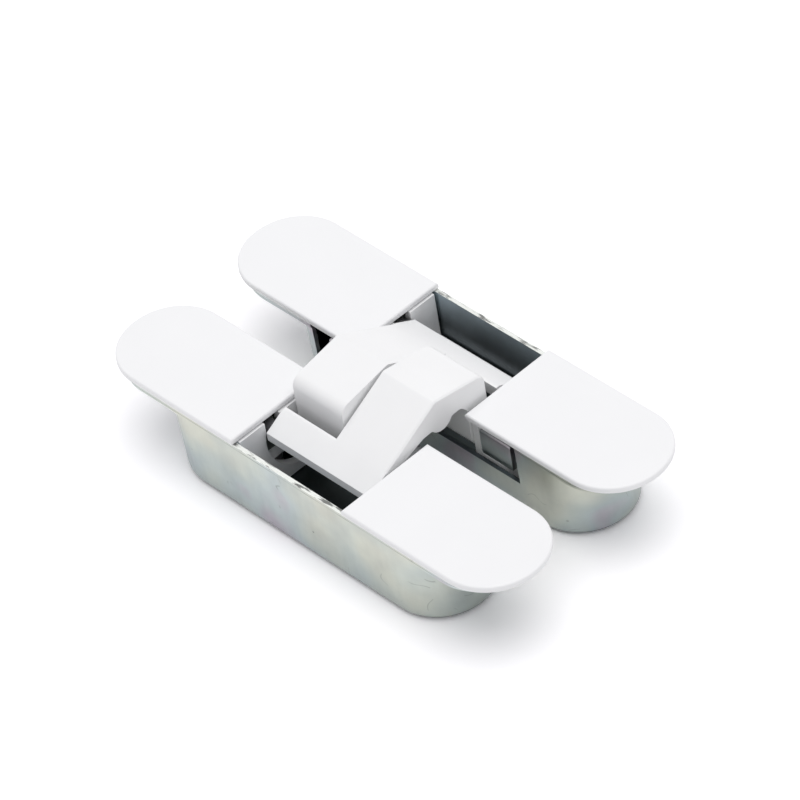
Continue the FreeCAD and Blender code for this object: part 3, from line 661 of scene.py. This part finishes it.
def clip_corners(node, floor, side):
    """Corners of the clip that hangs below a cover on one side of its middle."""
    low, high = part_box(node)
    middle = (low.y + high.y) / 2
    points = [corner.co for corner in frame["nodes"][node].data.vertices
              if corner.co.z < floor - LOWER and (corner.co.y > middle) == side]
    lows = [min(point[axis] for point in points) for axis in range(3)]
    highs = [max(point[axis] for point in points) for axis in range(3)]
    return lows, highs


def model_cover(node, sizes):
    """A cap with one round end, a soft upper edge and two clips."""
    low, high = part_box(node)
    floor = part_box(node.split("_")[0] + "_cup")[1].z
    piece = add_block(node + "_moulded", (low.x, low.y, floor), high)
    tip = high.x if high.x > -low.x else low.x
    end_radius = (high.y - low.y) / 2 - sizes.cover_end_flat
    bevel_where(piece, end_radius, 32,
                lambda a, b: same(a.x, tip) and same(b.x, tip) and not same(a.z, b.z))
    bevel_level(piece, high.z, sizes.cover_edge, 6)
    bevel_level(piece, floor, sizes.cover_rim, 3)
    for side in (False, True):
        foot, root = clip_corners(node, floor, side)
        clip = add_block("clip", foot, (root[0], root[1], (floor + high.z) / 2))
        bevel_level(clip, foot[2], sizes.clip_barb, 2)
        combine(piece, clip, "UNION")
    smooth(piece)
    return piece


class HINGE_OT_covers(Operator):
    """Model the four covers"""

    bl_idname = "hinge.covers"
    bl_label = "Covers"

    def execute(self, context):
        sizes = context.scene.hinge_sizes
        material = finish_named("cover_moulding", paint_cover)
        for half in HALVES:
            for end in ENDS:
                node = f"{half}_cover_{end}"
                hand_over(model_cover(node, sizes), node, material)
        return {"FINISHED"}


def plate_inside(piece, node, rim_depth, *finishes):
    """Give the cup's inner faces (painted shade), edges (painted highlight with wear) and upper face
    (painted highlight) the finishes that follow, in that order.
    """
    low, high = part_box(node)
    middle = (low + high) / 2
    for material in finishes:
        piece.data.materials.append(material)
    for face in piece.data.polygons:
        spot, normal = face.center, face.normal
        inward = normal.y * (middle.y - spot.y) > 0 and abs(normal.y) > WALL_FACING
        floor = normal.z > FLOOR_FACING and spot.z < middle.z
        if spot.z > high.z - rim_depth:
            face.material_index = LAND if normal.z > LAND_FACING else RIM
        elif inward or floor:
            face.material_index = INSIDE


class HINGE_OT_cups(Operator):
    """Model the two plated cups"""

    bl_idname = "hinge.cups"
    bl_label = "Cups"

    def execute(self, context):
        sizes = context.scene.hinge_sizes
        plating = finish_named("zinc_plating", paint_zinc)
        inside = finish_named("zinc_shaded_inside", paint_zinc_shaded_inside)
        rim = finish_named("zinc_rim_highlight", paint_zinc_rim_highlight)
        land = finish_named("zinc_land_highlight", paint_zinc_land_highlight)
        for half in HALVES:
            node = half + "_cup"
            piece = finish_copy(node, plating, sizes.rim_edge, 2)
            plate_inside(piece, node, sizes.rim_edge, inside, rim, land)
        return {"FINISHED"}


def level_slope(piece):
    """Take off what stands proud of the arm's long slope."""
    least, most = SLOPE_FACING
    slopes = [face for face in piece.data.polygons if least < face.normal.z < most]
    slope = max(slopes, key=lambda face: face.area)
    place, normal = slope.center.copy(), slope.normal.copy()
    start_edit(piece, "VERT", lambda corner: True)
    bpy.ops.mesh.bisect(plane_co=place, plane_no=normal, clear_outer=True, threshold=WELD)
    bpy.ops.mesh.select_all(action="SELECT")
    bpy.ops.mesh.remove_doubles(threshold=WELD)
    bpy.ops.mesh.select_all(action="DESELECT")
    bpy.ops.mesh.select_non_manifold(
        use_wire=False, use_boundary=True, use_multi_face=False, use_non_contiguous=False, use_verts=False)
    bpy.ops.mesh.edge_face_add()
    bpy.ops.mesh.select_all(action="SELECT")
    bpy.ops.mesh.dissolve_limited(angle_limit=FLAT_ANGLE)
    end_edit()


class HINGE_OT_castings(Operator):
    """Model the arms and carriages"""

    bl_idname = "hinge.castings"
    bl_label = "Arms and carriages"

    def execute(self, context):
        sizes = context.scene.hinge_sizes
        material = finish_named("casting_enamel", paint_enamel)
        for half in HALVES:
            finish_copy(half + "_carriage", material, sizes.casting_edge, 3)
            node = half + "_arm"
            piece = copy_solid(node, node + "_cast")
            level_slope(piece)
            round_edges(piece, sizes.casting_edge, 3)
            hand_over(piece, node, material)
        return {"FINISHED"}


def model_screw(node, block, sizes):
    """A socket screw with a ribbed head and a chamfered shank."""
    low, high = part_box(node)
    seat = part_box(block)[1].z
    middle = (low + high) / 2
    piece = add_round(node + "_turned", (low.x, low.y, seat), high, "Z", sides=72)
    # The bar's vertices come in pairs, one pair a side, so every other pair is drawn in
    ribs = 1 - sizes.knurl / (middle.x - low.x)
    start_edit(piece, "VERT", lambda corner: corner.index // 2 % 2 == 0)
    bpy.ops.transform.resize(value=(ribs, ribs, 1), center_override=middle)
    end_edit()
    bevel_level(piece, high.z, sizes.pin_edge, 3)
    corner_radius = sizes.socket / math.sqrt(3)
    socket = add_round("socket", (low.x, low.y, high.z - sizes.socket_deep),
                       (high.x, high.y, high.z + sizes.socket_deep), "Z", 6, math.pi / 6, corner_radius)
    combine(piece, socket, "DIFFERENCE")
    shank_radius = max(corner.co.x - middle.x for corner in frame["nodes"][node].data.vertices
                       if corner.co.z < seat - LOWER)
    shank = add_round("shank", (middle.x - shank_radius, middle.y - shank_radius, low.z),
                      (middle.x + shank_radius, middle.y + shank_radius, seat + sizes.pin_edge), "Z")
    bevel_level(shank, low.z, sizes.pin_edge * 2, 1)
    combine(piece, shank, "UNION")
    smooth(piece)
    return piece


def is_end(face):
    """Whether a face is one of the two ends of a bar along X."""
    return abs(face.normal.x) > END_FACING


def model_pin(node, sizes):
    """A ground pin with bevelled ends, each with a shallow centre mark."""
    low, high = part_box(node)
    middle, radius = (low + high) / 2, (high.z - low.z) / 2
    piece = add_round(node + "_turned", low, high, "X", sides=48)
    bevel_where(piece, sizes.pin_edge, 2, lambda a, b: across_end(a, b, low, high))
    start_edit(piece, "FACE", is_end)
    for width in MARK_RINGS:
        bpy.ops.mesh.inset(thickness=radius * width)
    depth = 1 - sizes.pin_edge / (middle.x - low.x)
    bpy.ops.transform.resize(value=(depth, 1, 1), center_override=middle)
    end_edit()
    smooth(piece)
    return piece


def model_ring(node, bore, width):
    """A bush, sleeve or washer: a round bar, bored through and bevelled at both ends."""
    low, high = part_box(node)
    middle, wall = (low + high) / 2, (high.z - low.z) / 2 - bore
    piece = add_round(node + "_turned", low, high, "X", sides=48)
    start_edit(piece, "FACE", is_end)
    bpy.ops.mesh.inset(thickness=wall)
    bpy.ops.mesh.bridge_edge_loops()
    end_edit()

    def round_edge(a, b):
        """Whether an edge runs round the ring: both its ends are as far from the middle."""
        return abs((a - middle).length - (b - middle).length) < wall / 10

    bevel_where(piece, min(width, wall / 3), 2,
                lambda a, b: across_end(a, b, low, high) and round_edge(a, b))
    smooth(piece)
    return piece


def bore_of(node):
    """Radius of the hole through a ring: its point nearest to its axis."""
    low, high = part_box(node)
    middle = (low + high) / 2
    return min(math.hypot(corner.co.y - middle.y, corner.co.z - middle.z)
               for corner in frame["nodes"][node].data.vertices)


class HINGE_OT_clamps(Operator):
    """Model the clamp blocks, screws and posts"""

    bl_idname = "hinge.clamps"
    bl_label = "Clamps"

    def execute(self, context):
        sizes = context.scene.hinge_sizes
        zinc = finish_named("zinc_plating", paint_zinc)
        oxide = finish_named("black_oxide", paint_oxide)
        steel = finish_named("bright_steel", paint_steel)
        for half in HALVES:
            for end in ENDS:
                block = f"{half}_clamp_block_{end}"
                screw = f"{half}_clamp_screw_{end}"
                finish_copy(block, zinc, sizes.block_edge, 2)
                hand_over(model_screw(screw, block, sizes), screw, oxide)
                finish_copy(f"{half}_clamp_post_{end}", steel, sizes.pin_edge, 2)
        return {"FINISHED"}


class HINGE_OT_pins(Operator):
    """Model the pins, bushes, sleeves and washer"""

    bl_idname = "hinge.pins"
    bl_label = "Pins and bushes"

    def execute(self, context):
        sizes = context.scene.hinge_sizes
        steel = finish_named("bright_steel", paint_steel)
        bearing = finish_named("bearing_plastic", paint_bearing)
        rings = [("centre_washer", sizes.pin_edge / 4)]
        pins = ["centre_pin"]
        for half in HALVES:
            pins += [half + "_pivot_pin", half + "_arm_slide_pin"]
            rings.append((half + "_arm_bush", sizes.block_edge))
            rings += [(f"{half}_arm_slide_sleeve_{end}", sizes.block_edge) for end in ENDS]
        for node in pins:
            hand_over(model_pin(node, sizes), node, steel)
        for node, width in rings:
            hand_over(model_ring(node, bore_of(node), width), node, bearing)
        return {"FINISHED"}


class HINGE_OT_stage(Operator):
    """Set up the floor, the light and the camera"""

    bl_idname = "hinge.stage"
    bl_label = "Stage"

    def execute(self, context):
        studio = context.scene.hinge_studio
        make_floor()
        light_world(studio)
        add_key(studio)
        add_camera(studio)
        context.scene.view_settings.view_transform = "Standard"
        return {"FINISHED"}


def add_seen(tree):
    """Whether a ray comes from the camera, from a reflection or through glass."""
    rays = tree.nodes.new("ShaderNodeLightPath")
    seen = add_math(tree, "MAXIMUM", rays.outputs["Is Camera Ray"], rays.outputs["Is Glossy Ray"])
    return add_math(tree, "MAXIMUM", seen, rays.outputs["Is Transmission Ray"])


def make_floor():
    """A wide white floor that keeps the hinge's shadow."""
    bpy.ops.object.select_all(action="DESELECT")
    bpy.ops.mesh.primitive_plane_add(size=12.0, location=(0, 0, -FLOOR_DROP))
    floor = bpy.context.active_object
    floor.name = "floor"
    material = bpy.data.materials.new("floor_white")
    material.use_nodes = True
    tree = material.node_tree
    tree.nodes.remove(tree.nodes["Principled BSDF"])
    matt = tree.nodes.new("ShaderNodeBsdfDiffuse")
    tree.links.new(add_mix(tree, add_seen(tree), FLOOR_WHITE, FLOOR_SEEN), matt.inputs["Color"])
    tree.links.new(matt.outputs[0], tree.nodes["Material Output"].inputs["Surface"])
    floor.data.materials.append(material)


def light_world(studio):
    """Soft light from all round; the camera and reflections see white."""
    world = bpy.data.worlds.new("studio")
    bpy.context.scene.world = world
    world.use_nodes = True
    tree = world.node_tree
    soft = tree.nodes["Background"]
    soft.inputs["Color"].default_value = (*AMBIENT_COLOUR, 1.0)
    soft.inputs["Strength"].default_value = studio.ambient
    white = tree.nodes.new("ShaderNodeBackground")
    white.inputs["Color"].default_value = (1.0, 1.0, 1.0, 1.0)
    both = tree.nodes.new("ShaderNodeMixShader")
    for output, socket in zip((add_seen(tree), soft.outputs[0], white.outputs[0]), both.inputs):
        tree.links.new(output, socket)
    tree.links.new(both.outputs[0], tree.nodes["World Output"].inputs["Surface"])


def add_key(studio):
    """A broad key light from above and a little from behind."""
    bpy.ops.object.light_add(type="SUN", location=(0, 0, 1))
    lamp = bpy.context.active_object
    lamp.name = "key"
    lamp.data.energy = studio.key
    lamp.data.angle = KEY_SPREAD
    lamp.data.color = KEY_COLOUR
    lamp.rotation_euler = Vector(KEY_WAY).to_track_quat("Z", "Y").to_euler()


def add_camera(studio):
    """A rolled camera at the photograph's place."""
    azimuth, elevation, roll = studio.azimuth, studio.elevation, studio.roll
    back = Vector((math.sin(azimuth) * math.cos(elevation), -math.cos(azimuth) * math.cos(elevation),
                   math.sin(elevation)))
    right = Vector((math.cos(azimuth), math.sin(azimuth), 0))
    up = back.cross(right)
    side = math.cos(roll) * right - math.sin(roll) * up
    top = math.cos(roll) * up + math.sin(roll) * right
    bpy.ops.object.camera_add()
    camera = bpy.context.active_object
    camera.name = "camera"
    turn = Matrix((side, top, back)).transposed().to_4x4()
    camera.matrix_world = Matrix.Translation(Vector(studio.aim) + back * studio.distance) @ turn
    camera.data.sensor_width = 36.0
    camera.data.lens = studio.lens
    camera.data.clip_start = 0.05
    camera.data.clip_end = 50.0
    bpy.context.scene.camera = camera


class HINGE_PT_panel(Panel):
    """Sizes, finishes and pieces of the hinge"""

    bl_idname = "HINGE_PT_panel"
    bl_label = "Concealed hinge"
    bl_space_type = "VIEW_3D"
    bl_region_type = "UI"
    bl_category = "Hinge"

    def draw(self, context):
        layout = self.layout
        scene = context.scene
        for group in (scene.hinge_sizes, scene.hinge_finishes, scene.hinge_studio):
            box = layout.box()
            for name in group.__annotations__:
                box.prop(group, name)
        for operator in OPERATORS:
            layout.operator(operator.bl_idname)


OPERATORS = (
    HINGE_OT_covers, HINGE_OT_cups, HINGE_OT_castings, HINGE_OT_clamps, HINGE_OT_pins, HINGE_OT_stage)
CLASSES = (HingeSizes, HingeFinishes, HingeStudio, *OPERATORS, HINGE_PT_panel)


def register():
    for item in CLASSES:
        bpy.utils.register_class(item)
    bpy.types.Scene.hinge_sizes = PointerProperty(type=HingeSizes)
    bpy.types.Scene.hinge_finishes = PointerProperty(type=HingeFinishes)
    bpy.types.Scene.hinge_studio = PointerProperty(type=HingeStudio)


def unregister():
    del bpy.types.Scene.hinge_studio
    del bpy.types.Scene.hinge_finishes
    del bpy.types.Scene.hinge_sizes
    for item in reversed(CLASSES):
        bpy.utils.unregister_class(item)


def main():
    """Make every piece and the stage."""
    register()
    bpy.ops.hinge.covers()
    bpy.ops.hinge.cups()
    bpy.ops.hinge.castings()
    bpy.ops.hinge.clamps()
    bpy.ops.hinge.pins()
    bpy.ops.hinge.stage()


if __name__ == "__main__":
    main()
